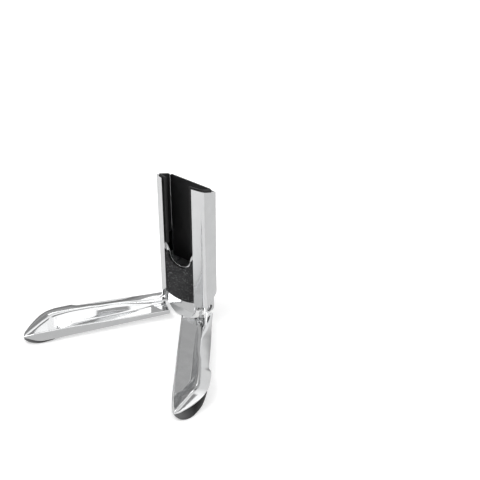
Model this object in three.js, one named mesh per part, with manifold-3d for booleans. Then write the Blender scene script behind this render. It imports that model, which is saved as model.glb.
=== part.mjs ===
// A folding bike display stand. An upright channel holds the crank arm behind two lips, the pedal
// spindle drops into the notch of its front plate, and two splayed legs swing down to the floor.
// Lengths are in millimetres, +Z is up, and the slot faces -Y.

import * as THREE from 'three';
import { mergeVertices } from 'three/addons/utils/BufferGeometryUtils.js';
import Module from 'manifold-3d';

const wasm = await Module();
wasm.setup();

// Gap kept between pieces that touch, and how far a cutting body runs past what it cuts
const fit = 0.3;
const overrun = 3;

// Channel: a folded sheet, open at the front between its lips
const sheet = 1.5;
const channelHeight = 131.6;
const channelWidth = 45;
const channelDepth = 21.1;
const slotWidth = 27.6;
const lipSet = 4;
const channelBend = 3;
const rimFall = 11;
const lean = THREE.MathUtils.degToRad(6);

// Lower end of the channel: the lips stop first, then the back, and the side walls run on as ears
const lipEnd = 17.7;
const earEnd = 9.9;
const earBack = 15.6;
const earCorner = 1.6;
const backEnd = 25.4;
const backCutEnd = 21.5;

// Front plate between the lips, with the spindle notch above and the heel below
const plateSet = 1.8;
const plateTop = 70.4;
const notchRadius = 9.7;
const notchHeight = 62.1;
const hornLean = 3.5;
const wingEnd = 21;
const wingReach = 5.2;
const heelFlat = 0.4;

// Label panel on the plate
const panelThick = 1.2;
const panelRim = 1.1;
const panelTop = 62.4;
const panelCorner = 1.4;
const panelEnd = 18.5;
const panelSag = 2.9;

// Rubber liners inside the channel
const linerThick = 2;
const linerReach = 2.5;
const linerProud = 1.6;
const linerBend = 2.4;
const backLinerEnd = 46;

// Block in the foot of the channel, which carries the pins
const blockEnd = 19;
const blockTop = 34;
const cheekRadius = 3.4;
const cheekFront = 1;
const cheekBack = 9;
const cheekShoulder = 4.5;

// Rivets that hold the plate and the back wall to the block
const rivetRadius = 2;
const rivetSpread = 8;
const plateRivetHeight = 27;
const plateRivetLength = 8;
const backRivetHeight = 30;
const backRivetLength = 7.5;
const rivetHeadRadius = 3.6;
const rivetHeadRise = 1.1;

// Hinges: each leg turns on a level pin, square to the leg
const splay = THREE.MathUtils.degToRad(32.6);
const pinHeight = 14.8;
const pinOffset = 3.6;
const pinSet = 4.1;
const pinRadius = 1.9;
const pinHoleRadius = 2.75;
const clipStart = 12.3;
const clipThick = 0.9;
const clipRadius = 3;
const washerThick = 0.4;
const washerRadius = 3;
const tabThick = 2.5;
const tabRadius = 3.1;
const tabNeck = 2.2;
const tabTopDrop = 5.3;
const tabRootDrop = 7.4;
const tabReach = 12;
const cheekThick = 2.6;
const pinPast = 1.7;

// Legs: a pressed sheet with an upright inner flange, a floor, a sloping wall and a flat outer rim
const legReach = 123;
const legSpan = 27.3;
const legRise = 8.5;
const legSheet = 1.4;
const legBend = 2;
const soleDropRoot = 9.9;
const soleDropTip = 12.8;
const legStart = -1.5;
const flangeRoot = 4.1;
const tabRoot = 2.6;
const rimStart = -1;
const rimRoot = 6.5;
const rimRootAcross = 18;
const footLength = 24;
const footInset = 0.6;

// Shape of a leg, as shares of its reach and of its span or rise
const innerEdgeShares = [[0, 0], [0.84, 0], [0.93, 0.02], [1, 0.085]];
const floorEdgeShares = [[0, 0.49], [0.456, 0.5], [0.651, 0.48], [0.735, 0.32], [0.814, 0.1], [1, 0.114]];
const creaseShares = [
  [0, 0.597], [0.456, 0.597], [0.537, 0.645], [0.765, 0.668], [0.844, 0.524], [0.94, 0.28], [0.988, 0.165],
  [1, 0.123],
];
const rimShares = [
  [0, 0.923], [0.6, 0.923], [0.64, 1], [0.74, 0.99], [0.79, 0.95], [0.84, 0.863],
  [0.89, 0.715], [0.936, 0.53], [0.97, 0.365], [0.989, 0.256], [1, 0.136],
];
const flangeRiseShares = [[0, 0.4], [0.456, 0.735], [0.823, 1], [0.9, 0.99], [1, 0.77]];
const flangeFootShares = [[0, 0], [0.88, 0], [1, 0.6]];
const cornerRiseShares = [[0, 0], [0.814, 0], [1, 0.61]];
const creaseRiseShares = [
  [0, 0.36], [0.09, 0.39], [0.326, 0.88], [0.456, 1], [0.64, 1.03], [0.8, 1.02], [0.93, 0.77], [1, 0.61],
];
const rimRiseShares = [[0, 0.38], [0.269, 0.6], [0.456, 0.78], [0.64, 0.92], [0.8, 0.95], [0.93, 0.72], [1, 0.6]];
const rampStartShare = 0.77;
const rampEndShare = 0.84;
// Outline of the foot on the floor, from its inner rear corner round the nose to its outer rear corner
const footFloorShares = [
  [0.837, 0.092], [0.874, 0.065], [0.911, 0.062], [0.956, 0.165], [0.978, 0.311],
  [0.972, 0.462], [0.942, 0.604], [0.902, 0.707], [0.862, 0.791],
];
const legSteps = 40;
const legStepsTaper = 0.6;
const footSteps = 12;
const bendSteps = 3;
const roundSides = 28;

// Turns a closed geometry into a solid that can be joined and cut
function solidOf(geometry) {
  const bare = geometry.clone();
  bare.deleteAttribute('normal');
  bare.deleteAttribute('uv');
  const merged = mergeVertices(bare);
  return new wasm.Manifold(new wasm.Mesh({
    numProp: 3,
    vertProperties: Float32Array.from(merged.attributes.position.array),
    triVerts: Uint32Array.from(merged.index.array),
  }));
}

function geometryOf(solid) {
  const mesh = solid.getMesh();
  const geometry = new THREE.BufferGeometry();
  geometry.setAttribute('position', new THREE.BufferAttribute(Float32Array.from(mesh.vertProperties), 3));
  geometry.setIndex(new THREE.BufferAttribute(Uint32Array.from(mesh.triVerts), 1));
  return geometry;
}

function shapeOf(points) {
  return new THREE.Shape(points.map(([u, v]) => new THREE.Vector2(u, v)));
}

// An outline extruded along the third axis: level in (x, y), crosswise in (y, z), endwise in (x, z)
function extruded(shape, from, to, basis) {
  const geometry = new THREE.ExtrudeGeometry(shape, {
    depth: to - from, bevelEnabled: false, curveSegments: roundSides / 2,
  });
  geometry.translate(0, 0, from);
  geometry.applyMatrix4(basis);
  return solidOf(geometry);
}

const axisX = new THREE.Vector3(1, 0, 0);
const axisY = new THREE.Vector3(0, 1, 0);
const axisZ = new THREE.Vector3(0, 0, 1);

function levelPrism(shape, from, to) {
  return extruded(shape, from, to, new THREE.Matrix4());
}

function crossPrism(shape, from, to) {
  return extruded(shape, from, to, new THREE.Matrix4().makeBasis(axisY, axisZ, axisX));
}

function endPrism(shape, from, to) {
  const backwards = axisY.clone().negate();
  return extruded(shape, -to, -from, new THREE.Matrix4().makeBasis(axisX, axisZ, backwards));
}

// A round bar along Y at (x, z)
function bar(radius, from, to, x = 0, z = 0) {
  const geometry = new THREE.CylinderGeometry(radius, radius, to - from, roundSides);
  geometry.translate(x, (from + to) / 2, z);
  return solidOf(geometry);
}

function ring(radius, bore, from, to) {
  return bar(radius, from, to).subtract(bar(bore, from - overrun, to + overrun));
}

function moved(solid, matrix) {
  return solidOf(geometryOf(solid).applyMatrix4(matrix));
}

// Rounds the inner corners of an open line with short parabolas
function softened(points, reach) {
  const line = [points[0]];
  for (let i = 1; i < points.length - 1; i += 1) {
    const corner = new THREE.Vector2(...points[i]);
    const ends = [points[i - 1], points[i + 1]].map((end) => {
      const leg = new THREE.Vector2(...end).sub(corner);
      return leg.setLength(Math.min(reach, leg.length() * 0.45)).add(corner);
    });
    const bend = new THREE.QuadraticBezierCurve(ends[0], corner, ends[1]);
    line.push(...bend.getPoints(bendSteps).map((point) => [point.x, point.y]));
  }
  line.push(points[points.length - 1]);
  return line;
}

// The line that runs beside an open line, to its left
function beside(points, distance) {
  const sides = [];
  for (let i = 1; i < points.length; i += 1) {
    const run = new THREE.Vector2(points[i][0] - points[i - 1][0], points[i][1] - points[i - 1][1]).normalize();
    sides.push(new THREE.Vector2(-run.y, run.x));
  }
  return points.map(([u, v], i) => {
    const before = sides[Math.max(i - 1, 0)];
    const after = sides[Math.min(i, sides.length - 1)];
    const mitre = before.clone().add(after).normalize();
    const length = distance / mitre.dot(after);
    return [u + mitre.x * length, v + mitre.y * length];
  });
}

function sheetOutline(line, thickness) {
  return [...line, ...beside(line, thickness).reverse()];
}

// A smooth value between the pairs of a list, without overshoot
function valueAt(pairs, at) {
  const last = pairs.length - 1;
  if (at <= pairs[0][0]) return pairs[0][1];
  if (at >= pairs[last][0]) return pairs[last][1];
  const grade = (i) => (pairs[i + 1][1] - pairs[i][1]) / (pairs[i + 1][0] - pairs[i][0]);
  const slope = (i) => {
    if (i === 0) return grade(0);
    if (i === last) return grade(last - 1);
    const product = grade(i - 1) * grade(i);
    return product <= 0 ? 0 : (2 * product) / (grade(i - 1) + grade(i));
  };
  const k = pairs.findIndex((pair, i) => i < last && at < pairs[i + 1][0]);
  const width = pairs[k + 1][0] - pairs[k][0];
  const t = (at - pairs[k][0]) / width;
  const ease = t * t * (3 - 2 * t);
  const leave = t * (1 - t) * (1 - t);
  const arrive = t * t * (t - 1);
  return pairs[k][1] + ease * (pairs[k + 1][1] - pairs[k][1])
    + width * (leave * slope(k) + arrive * slope(k + 1));
}

// A closed body through sections that have the same number of points
function loft(sections) {
  const count = sections[0].length;
  const points = sections.flat();
  const triangles = [];
  for (let s = 0; s + 1 < sections.length; s += 1) {
    for (let i = 0; i < count; i += 1) {
      const next = (i + 1) % count;
      const near = s * count;
      const far = near + count;
      triangles.push([near + i, near + next, far + next], [near + i, far + next, far + i]);
    }
  }
  const lastStart = points.length - count;
  const flat = (section) => section.map((point) => new THREE.Vector2(point.y, point.z));
  const firstCap = THREE.ShapeUtils.triangulateShape(flat(sections[0]), []);
  const lastCap = THREE.ShapeUtils.triangulateShape(flat(sections[sections.length - 1]), []);
  triangles.push(...firstCap.map(([a, b, c]) => [c, b, a]));
  triangles.push(...lastCap.map(([a, b, c]) => [a + lastStart, b + lastStart, c + lastStart]));
  const geometry = new THREE.BufferGeometry();
  geometry.setAttribute('position', new THREE.Float32BufferAttribute(points.flatMap((p) => p.toArray()), 3));
  geometry.setIndex(triangles.flat());
  return solidOf(geometry);
}

// Places: the channel leans forward on its heel, and a hinge frame has X along its leg and Y along its pin
const holderPlace = new THREE.Matrix4().makeRotationX(lean)
  .setPosition(0, 0, -plateSet * Math.sin(lean) - heelFlat);

function hingePlace(side) {
  return new THREE.Matrix4().makeRotationZ(side * splay - Math.PI / 2)
    .setPosition(side * pinOffset, -pinSet, pinHeight);
}

function hingeInHolder(side) {
  return holderPlace.clone().invert().multiply(hingePlace(side));
}

// Widths along the pin
const innerWasherStart = clipStart + clipThick + fit;
const tabStart = innerWasherStart + washerThick + fit;
const outerWasherStart = tabStart + tabThick + fit;
const cheekStart = outerWasherStart + washerThick + fit;
const cheekStop = cheekStart + cheekThick;
const pinStop = cheekStop + pinPast;

// Channel
const halfChannel = channelWidth / 2;
const halfSlot = slotWidth / 2;
const channelCorners = [
  [halfSlot, 0],
  [halfChannel, lipSet],
  [halfChannel, channelDepth],
  [-halfChannel, channelDepth],
  [-halfChannel, lipSet],
  [-halfSlot, 0],
];
const rimSlope = rimFall / channelDepth;
const lipSlope = lipSet / (halfChannel - halfSlot);

function rimHeight(y) {
  return channelHeight - rimSlope * y;
}

function channelSide() {
  const cutSlope = (backEnd - backCutEnd) / (channelDepth - earBack);
  const past = channelDepth + overrun;
  const side = new THREE.Shape();
  side.moveTo(-overrun, lipEnd);
  side.lineTo(lipSet, lipEnd);
  side.lineTo(lipSet, earEnd + earCorner);
  side.absarc(lipSet + earCorner, earEnd + earCorner, earCorner, Math.PI, 1.5 * Math.PI);
  side.absarc(earBack - earCorner, earEnd + earCorner, earCorner, 1.5 * Math.PI, 2 * Math.PI);
  side.lineTo(earBack, backCutEnd);
  side.lineTo(past, backCutEnd + cutSlope * (past - earBack));
  side.lineTo(past, rimHeight(past));
  side.lineTo(-overrun, rimHeight(-overrun));
  return side;
}

function onBothSides(make) {
  return make(1).add(make(-1));
}

function rivetHoles(height, from, to) {
  return onBothSides((side) => bar(rivetRadius + fit, from, to, side * rivetSpread, height));
}

function holderShell() {
  const past = [halfSlot - sheet, -sheet * lipSlope];
  const line = [past, ...channelCorners.slice(1, -1), [-past[0], past[1]]];
  const profile = shapeOf(sheetOutline(softened(line, channelBend), sheet));
  const slot = new THREE.BoxGeometry(slotWidth, channelDepth, (channelHeight + overrun) * 2);
  const belowLips = new THREE.BoxGeometry(channelWidth - 2 * sheet, channelDepth, lipEnd * 2);
  const body = levelPrism(profile, 0, channelHeight + overrun)
    .intersect(crossPrism(channelSide(), -channelWidth, channelWidth))
    .subtract(solidOf(slot))
    .subtract(solidOf(belowLips));
  const pinHoles = onBothSides((side) => {
    const hole = bar(pinHoleRadius, cheekStart, pinStop + channelDepth);
    return moved(handedSolid(hole, side), hingeInHolder(side));
  });
  return body.subtract(pinHoles)
    .subtract(rivetHoles(backRivetHeight, channelDepth - sheet - overrun, channelDepth + overrun));
}

// The space inside the channel's walls
function channelRoom() {
  const walls = shapeOf(beside(softened(channelCorners, channelBend), sheet + fit));
  return levelPrism(walls, 0, channelHeight + overrun * 2);
}

// Front plate, a shallow tray whose wings lie behind the lips
const lipAngle = Math.atan(lipSlope);
const wingStart = halfSlot + (plateSet - (sheet + fit) / Math.cos(lipAngle)) / lipSlope;
const plateCorners = [
  [-wingStart - wingReach, plateSet + wingReach * lipSlope],
  [-wingStart, plateSet],
  [wingStart, plateSet],
  [wingStart + wingReach, plateSet + wingReach * lipSlope],
];

function plateFace() {
  const wing = wingStart + wingReach + overrun;
  const face = new THREE.Shape();
  face.absarc(0, halfSlot, halfSlot, Math.PI, 2 * Math.PI);
  face.lineTo(halfSlot, wingEnd);
  face.lineTo(wing, wingEnd);
  face.lineTo(wing, plateTop);
  face.lineTo(halfSlot, plateTop);
  face.quadraticCurveTo(notchRadius + panelRim, plateTop - hornLean, notchRadius, notchHeight);
  face.absarc(0, notchHeight, notchRadius, 0, Math.PI, true);
  face.quadraticCurveTo(-notchRadius - panelRim, plateTop - hornLean, -halfSlot, plateTop);
  face.lineTo(-wing, plateTop);
  face.lineTo(-wing, wingEnd);
  face.lineTo(-halfSlot, wingEnd);
  return face;
}

function frontPlate() {
  const profile = shapeOf(sheetOutline(plateCorners, sheet));
  const floor = new THREE.BoxGeometry(channelWidth, channelWidth, channelWidth);
  floor.translate(0, 0, -channelWidth / 2);
  floor.applyMatrix4(holderPlace.clone().invert());
  return levelPrism(profile, -overrun, plateTop + overrun)
    .intersect(endPrism(plateFace(), -overrun, channelDepth))
    .subtract(rivetHoles(plateRivetHeight, 0, channelDepth))
    .subtract(solidOf(floor));
}

function labelPanel() {
  const half = halfSlot - fit;
  const sagRadius = (half * half + panelSag * panelSag) / (2 * panelSag);
  const sagAngle = Math.asin(half / sagRadius);
  const face = new THREE.Shape();
  face.absarc(0, panelEnd + sagRadius, sagRadius, -Math.PI / 2 - sagAngle, -Math.PI / 2 + sagAngle);
  face.lineTo(half, panelTop - panelCorner);
  face.quadraticCurveTo(half, panelTop, half - panelCorner, panelTop);
  face.absarc(0, notchHeight, notchRadius + panelRim, 0, Math.PI, true);
  face.lineTo(panelCorner - half, panelTop);
  face.quadraticCurveTo(-half, panelTop, -half, panelTop - panelCorner);
  return endPrism(face, plateSet - fit - panelThick, plateSet - fit);
}

// Liners: one along each lip and side wall, and a pad on the back wall
function linerSide() {
  const past = channelDepth + overrun;
  return shapeOf([
    [-overrun, plateTop + fit],
    [past, plateTop + fit],
    [past, rimHeight(past) + linerProud],
    [-overrun, rimHeight(-overrun) + linerProud],
  ]);
}

function sideLiner(side) {
  const inner = beside(channelCorners, sheet + fit);
  const stop = channelDepth - sheet - linerThick - 2 * fit;
  const start = halfSlot - linerReach;
  const line = softened([
    [start, inner[0][1] - (inner[0][0] - start) * lipSlope],
    inner[1],
    [inner[1][0], stop],
  ], linerBend);
  const outline = sheetOutline(line, linerThick).map(([x, y]) => [side * x, y]);
  return levelPrism(shapeOf(outline), plateTop, channelHeight + overrun * 2)
    .intersect(crossPrism(linerSide(), -channelWidth, channelWidth));
}

function backLiner() {
  const back = channelDepth - sheet - fit;
  const front = back - linerThick;
  const half = halfChannel - sheet - linerThick - 2 * fit;
  const side = shapeOf([
    [front, backLinerEnd],
    [back, backLinerEnd],
    [back, rimHeight(back) + linerProud],
    [front, rimHeight(front) + linerProud],
  ]);
  return crossPrism(side, -half, half);
}

// Block behind the plate, with a cheek that hangs beside each leg's tab
function cheek() {
  const outline = new THREE.Shape();
  outline.absarc(0, 0, cheekRadius, Math.PI, 2 * Math.PI);
  outline.lineTo(cheekFront, cheekShoulder);
  outline.lineTo(cheekFront, blockTop);
  outline.lineTo(-cheekBack, blockTop);
  outline.lineTo(-cheekBack, cheekRadius);
  return endPrism(outline, cheekStart, cheekStop);
}

function hingeBlock() {
  const half = halfChannel - sheet - fit;
  const back = channelDepth - sheet - fit;
  const front = beside(plateCorners, sheet + fit);
  const edge = front[3][1] + (half - front[3][0]) * lipSlope;
  const plan = shapeOf([[-half, edge], front[1], front[2], [half, edge], [half, back], [-half, back]]);
  const cheeks = onBothSides((side) => moved(handedSolid(cheek(), side), hingeInHolder(side)));
  const pinHoles = onBothSides((side) => {
    const hole = bar(pinRadius + fit, clipStart, pinStop + overrun);
    return moved(handedSolid(hole, side), hingeInHolder(side));
  });
  return levelPrism(plan, blockEnd, blockTop)
    .add(cheeks.intersect(levelPrism(plan, 0, blockTop - fit)))
    .intersect(channelRoom())
    .subtract(pinHoles)
    .subtract(rivetHoles(plateRivetHeight, 0, plateSet + plateRivetLength + fit))
    .subtract(rivetHoles(backRivetHeight, channelDepth - sheet - backRivetLength - fit, channelDepth + overrun));
}

function plateRivet(side) {
  return bar(rivetRadius, plateSet, plateSet + plateRivetLength, side * rivetSpread, plateRivetHeight);
}

function rivetHead() {
  const sphereRadius = (rivetHeadRadius ** 2 + rivetHeadRise ** 2) / (2 * rivetHeadRise);
  const spread = Math.asin(rivetHeadRadius / sphereRadius);
  const profile = [new THREE.Vector2(0, 0)];
  for (let i = bendSteps; i >= 0; i -= 1) {
    const angle = (spread * i) / bendSteps;
    const height = sphereRadius * (Math.cos(angle) - Math.cos(spread));
    profile.push(new THREE.Vector2(sphereRadius * Math.sin(angle), height));
  }
  return new THREE.LatheGeometry(profile, roundSides);
}

function backRivet(side) {
  const seat = channelDepth + fit;
  const inner = channelDepth - sheet - backRivetLength;
  const head = rivetHead();
  head.translate(side * rivetSpread, seat, backRivetHeight);
  return bar(rivetRadius, inner, seat + rivetHeadRise / 2, side * rivetSpread, backRivetHeight)
    .add(solidOf(head));
}

// Legs
function soleDrop(along) {
  return soleDropRoot + (soleDropTip - soleDropRoot) * (along / legReach);
}

// Corner, floor edge, crease and rim of the under side of a leg's section
function legCorners(share) {
  const inner = valueAt(innerEdgeShares, share) * legSpan + legSheet / 2;
  const crease = [valueAt(creaseShares, share) * legSpan, valueAt(creaseRiseShares, share) * legRise];
  const rim = [valueAt(rimShares, share) * legSpan, valueAt(rimRiseShares, share) * legRise];
  const cornerRise = valueAt(cornerRiseShares, share) * legRise;
  const edge = Math.max(valueAt(floorEdgeShares, share) * legSpan, inner + (crease[0] - inner) * 0.2);
  const onRamp = cornerRise + (crease[1] - cornerRise) * ((edge - inner) / (crease[0] - inner));
  const ramp = valueAt([[rampStartShare, 0], [rampEndShare, 1]], share);
  return [
    [inner, cornerRise],
    [edge, cornerRise + (onRamp - cornerRise) * ramp],
    crease,
    rim,
  ];
}

function legSections(outlineOf) {
  const sections = [];
  for (let i = 0; i <= legSteps; i += 1) {
    const step = i / legSteps + (legStepsTaper * Math.sin((Math.PI * i) / legSteps)) / Math.PI;
    const along = legStart + (legReach - legStart) * step;
    const drop = soleDrop(along);
    sections.push(outlineOf(along / legReach).map(([across, up]) => new THREE.Vector3(along, across, up - drop)));
  }
  return sections;
}

function legTray() {
  return loft(legSections((share) => sheetOutline(softened(legCorners(share), legBend), legSheet)));
}

function legFlange() {
  return loft(legSections((share) => {
    const inner = valueAt(innerEdgeShares, share) * legSpan;
    const low = valueAt(flangeFootShares, share) * legRise;
    const top = valueAt(flangeRiseShares, share) * legRise;
    return [[inner, low], [inner + legSheet, low], [inner + legSheet, top], [inner, top]];
  }));
}

function legRootPlan() {
  const far = legReach + overrun;
  const wide = legSpan + overrun;
  const besideEar = (along) => (halfChannel + fit - pinOffset - along * Math.sin(splay)) / Math.cos(splay);
  return shapeOf([
    [flangeRoot, -overrun],
    [far, -overrun],
    [far, wide],
    [rimStart, wide],
    [rimStart, besideEar(rimStart)],
    [rimRoot, besideEar(rimRoot)],
    [rimRoot, rimRootAcross],
    [tabRoot, rimRootAcross],
    [tabRoot, tabStart],
  ]);
}

function legTab() {
  const outline = new THREE.Shape();
  outline.absarc(0, 0, tabRadius, Math.PI, -Math.asin(Math.sqrt(1 - (tabNeck / tabRadius) ** 2)), true);
  outline.lineTo(tabNeck, -tabTopDrop);
  outline.lineTo(tabReach, -tabTopDrop);
  outline.lineTo(tabReach, -tabRootDrop);
  outline.lineTo(-tabRadius, -tabRootDrop);
  return endPrism(outline, tabStart, tabStart + tabThick);
}

function leg() {
  const plan = levelPrism(legRootPlan(), -pinHeight - overrun, legRise + overrun);
  return legTray().add(legFlange()).intersect(plan).add(legTab())
    .subtract(bar(pinRadius + fit, 0, legSpan));
}

// Foot: a rubber shoe under the nose, which runs from the leg's edge down to a rounded outline on the floor
function footEdge(along, outer) {
  const share = along / legReach;
  const across = outer ? valueAt(rimShares, share) * legSpan : valueAt(innerEdgeShares, share) * legSpan + footInset;
  const rise = valueAt(outer ? rimRiseShares : flangeFootShares, share) * legRise;
  return new THREE.Vector3(rise - soleDrop(along) - fit, along, across);
}

function footBody() {
  const shares = footFloorShares.map(([a, w]) => new THREE.Vector2(a * legReach, w * legSpan));
  const line = new THREE.SplineCurve(shares).getPoints(footSteps * 2);
  const floor = line.map((point) => new THREE.Vector3(-pinHeight, point.x, point.y));
  const edge = line.map((point, i) => {
    const back = Math.abs(i - footSteps) / footSteps;
    const along = legReach - footLength * (1 - Math.cos((Math.PI / 2) * back));
    return footEdge(along, i > footSteps);
  });
  const above = edge.map((point) => new THREE.Vector3(legRise - soleDropRoot, point.y, point.z));
  const upright = new THREE.Matrix4().makeBasis(axisZ, axisX, axisY);
  return moved(loft([floor, edge, above]), upright);
}

function aboveFoot() {
  const high = legRise + overrun;
  const wide = legSpan + overrun * 2;
  const tray = loft(legSections((share) => {
    const under = beside(softened(legCorners(share), legBend), -fit);
    const [first, last] = [under[0], under[under.length - 1]];
    return [[-overrun, high], [-overrun, first[1]], ...under, [wide, last[1]], [wide, high]];
  }));
  const flange = loft(legSections((share) => {
    const outer = valueAt(innerEdgeShares, share) * legSpan + legSheet + fit;
    const low = valueAt(flangeFootShares, share) * legRise - fit;
    return [[-overrun, low], [outer, low], [outer, high], [-overrun, high]];
  }));
  return tray.add(flange);
}

function foot() {
  return footBody().subtract(aboveFoot());
}

// Small parts on the pin
function pin() {
  return bar(pinRadius, clipStart, pinStop);
}

function pinClip() {
  return ring(clipRadius, pinRadius + fit, clipStart, clipStart + clipThick);
}

function washer(start) {
  return ring(washerRadius, pinRadius + fit, start, start + washerThick);
}

// The left hinge mirrors the right one
const sides = [['right', 1], ['left', -1]];

function handedGeometry(geometry, side) {
  if (side > 0) return geometry;
  geometry.scale(1, -1, 1);
  const index = geometry.index.array;
  for (let i = 0; i < index.length; i += 3) [index[i], index[i + 1]] = [index[i + 1], index[i]];
  return geometry;
}

function handedSolid(solid, side) {
  return solidOf(handedGeometry(geometryOf(solid), side));
}

function finish(color, roughness, metalness) {
  return () => new THREE.MeshStandardMaterial({ color, roughness, metalness });
}

const polishedSteel = finish(0xd4d6d8, 0.16, 1);
const castAlloy = finish(0x9a9da0, 0.5, 1);
const pinSteel = finish(0x8f9295, 0.3, 1);
const nylon = finish(0x1c1c1e, 0.5, 0);
const rubber = finish(0x161617, 0.75, 0);
const texturedPanel = finish(0x18181a, 0.6, 0);

function piece(name, geometry, material) {
  const flatSided = geometry.toNonIndexed();
  flatSided.computeVertexNormals();
  const mesh = new THREE.Mesh(flatSided, material());
  mesh.name = name;
  return mesh;
}

function holder() {
  const group = new THREE.Group();
  group.applyMatrix4(holderPlace);
  group.add(piece('holder_shell', geometryOf(holderShell()), polishedSteel));
  group.add(piece('front_plate', geometryOf(frontPlate()), polishedSteel));
  group.add(piece('label_panel', geometryOf(labelPanel()), texturedPanel));
  group.add(piece('liner_back', geometryOf(backLiner()), rubber));
  group.add(piece('hinge_block', geometryOf(hingeBlock()), castAlloy));
  for (const [label, side] of sides) {
    group.add(piece(`${label}_liner`, geometryOf(sideLiner(side)), rubber));
    group.add(piece(`${label}_plate_rivet`, geometryOf(plateRivet(side)), pinSteel));
    group.add(piece(`${label}_back_rivet`, geometryOf(backRivet(side)), pinSteel));
  }
  return group;
}

function hinge(label, side) {
  const group = new THREE.Group();
  group.applyMatrix4(hingePlace(side));
  const add = (name, solid, material) => {
    group.add(piece(`${label}_${name}`, handedGeometry(geometryOf(solid), side), material));
  };
  add('leg', leg(), polishedSteel);
  add('foot', foot(), rubber);
  add('pin', pin(), pinSteel);
  add('pin_clip', pinClip(), pinSteel);
  add('washer_inner', washer(innerWasherStart), nylon);
  add('washer_outer', washer(outerWasherStart), nylon);
  return group;
}

const stand = new THREE.Group();
stand.name = 'bike_display_stand';
stand.position.y = -(plateSet + sheet / 2) * Math.cos(lean);
stand.add(holder(), ...sides.map(([label, side]) => hinge(label, side)));

export default stand;
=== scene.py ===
import math

import bmesh
import bpy
from mathutils import Matrix, Vector


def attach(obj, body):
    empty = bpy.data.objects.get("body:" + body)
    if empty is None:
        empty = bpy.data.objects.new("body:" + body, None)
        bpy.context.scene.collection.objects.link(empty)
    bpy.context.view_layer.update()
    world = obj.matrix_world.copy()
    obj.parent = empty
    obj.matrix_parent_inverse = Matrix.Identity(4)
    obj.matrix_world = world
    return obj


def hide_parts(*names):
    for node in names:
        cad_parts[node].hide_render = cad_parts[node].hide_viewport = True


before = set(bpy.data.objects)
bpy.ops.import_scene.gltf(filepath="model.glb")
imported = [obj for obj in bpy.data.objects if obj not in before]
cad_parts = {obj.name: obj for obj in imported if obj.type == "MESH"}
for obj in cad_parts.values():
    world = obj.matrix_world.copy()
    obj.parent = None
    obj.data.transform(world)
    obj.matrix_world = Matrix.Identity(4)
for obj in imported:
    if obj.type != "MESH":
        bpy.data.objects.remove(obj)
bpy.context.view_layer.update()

# The sizes below are millimetres, and most of them repeat the solids' named sizes. Pieces are made in
# their own frame in millimetres, and put in place in metres. FIT is the gap between two pieces, and
# OVERRUN is how far a cutting tool reaches past what it cuts.
MM = 0.001
FIT = 0.3
OVERRUN = 3.0
SHEET = 1.5
LEAN = math.radians(6)

# Channel
CHANNEL_HEIGHT = 131.6
HALF_CHANNEL = 22.5
CHANNEL_DEPTH = 21.1
HALF_SLOT = 13.8
LIP_SET = 4.0
LIP_SLOPE = LIP_SET / (HALF_CHANNEL - HALF_SLOT)
CHANNEL_BEND = 3.0
RIM_SLOPE = 11.0 / CHANNEL_DEPTH
LIP_END = 17.7
EAR_END = 9.9
EAR_BACK = 15.6
EAR_CORNER = 1.6
BACK_END = 25.4
BACK_CUT_END = 21.5

# Front plate, whose notch and heel are round
PLATE_SET = 1.8
PLATE_TOP = 70.4
NOTCH_RADIUS = 9.7
NOTCH_HEIGHT = 62.1
HORN_LEAN = 3.5
WING_END = 21.0
WING_REACH = 5.2
HEEL_FLAT = 0.4

# Panel on the plate
PANEL_THICK = 1.2
PANEL_RIM = 1.1
PANEL_TOP = 62.4
PANEL_CORNER = 1.4
PANEL_END = 18.5
PANEL_SAG = 2.9

# Rubber liners in the channel
LINER_THICK = 2.0
LINER_REACH = 2.5
LINER_PROUD = 1.6
LINER_BEND = 2.4
BACK_LINER_END = 46.0

# Rivets
RIVET_RADIUS = 2.0
RIVET_SPREAD = 8.0
PLATE_RIVET_HEIGHT = 27.0
BACK_RIVET_HEIGHT = 30.0

# Hinges, and the eye of each leg on its pin
SPLAY = math.radians(32.6)
PIN_HEIGHT = 14.8
PIN_OFFSET = 3.6
PIN_SET = 4.1
PIN_RADIUS = 1.9
PIN_HOLE_RADIUS = 2.75
BORE_MARGIN = 0.1
EAR_HOLE_START = 17.9
TAB_START = 14.2
TAB_THICK = 2.5
TAB_RADIUS = 3.1
TAB_NECK = 2.2
TAB_TOP_DROP = 5.3
TAB_ROOT_DROP = 7.4
TAB_REACH = 12.0

# Legs: the pressed tray, its two flanges and its root beside the hinge
LEG_REACH = 123.0
LEG_SPAN = 27.3
LEG_RISE = 8.5
LEG_SHEET = 1.4
LEG_BEND = 2.0
SOLE_DROP_ROOT = 9.9
SOLE_DROP_TIP = 12.8
LEG_START = -1.5
FLANGE_ROOT = 4.1
TAB_ROOT = 2.6
RIM_START = -1.0
RIM_ROOT = 6.5
RIM_ROOT_ACROSS = 18.0
LEAST_FLOOR = 0.2
LEG_EDGE_REACH = 0.45
LEG_EDGE_CUT = 0.3
FLANGE_SINK = 0.12
FLANGE_TURN = 0.8

# Feet. The sole's insets are shares of the way to its centre
FOOT_LENGTH = 24.0
FOOT_INSET = 0.6
FOOT_BULGE = 0.6
SOLE_INSET = 0.09
SOLE_TURN_INSET = 0.025
SOLE_TURN_RISE = 0.25
FOOT_SKIN = (0.1, 0.25, 0.4, 0.55, 0.7, 0.85, 1)

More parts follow.
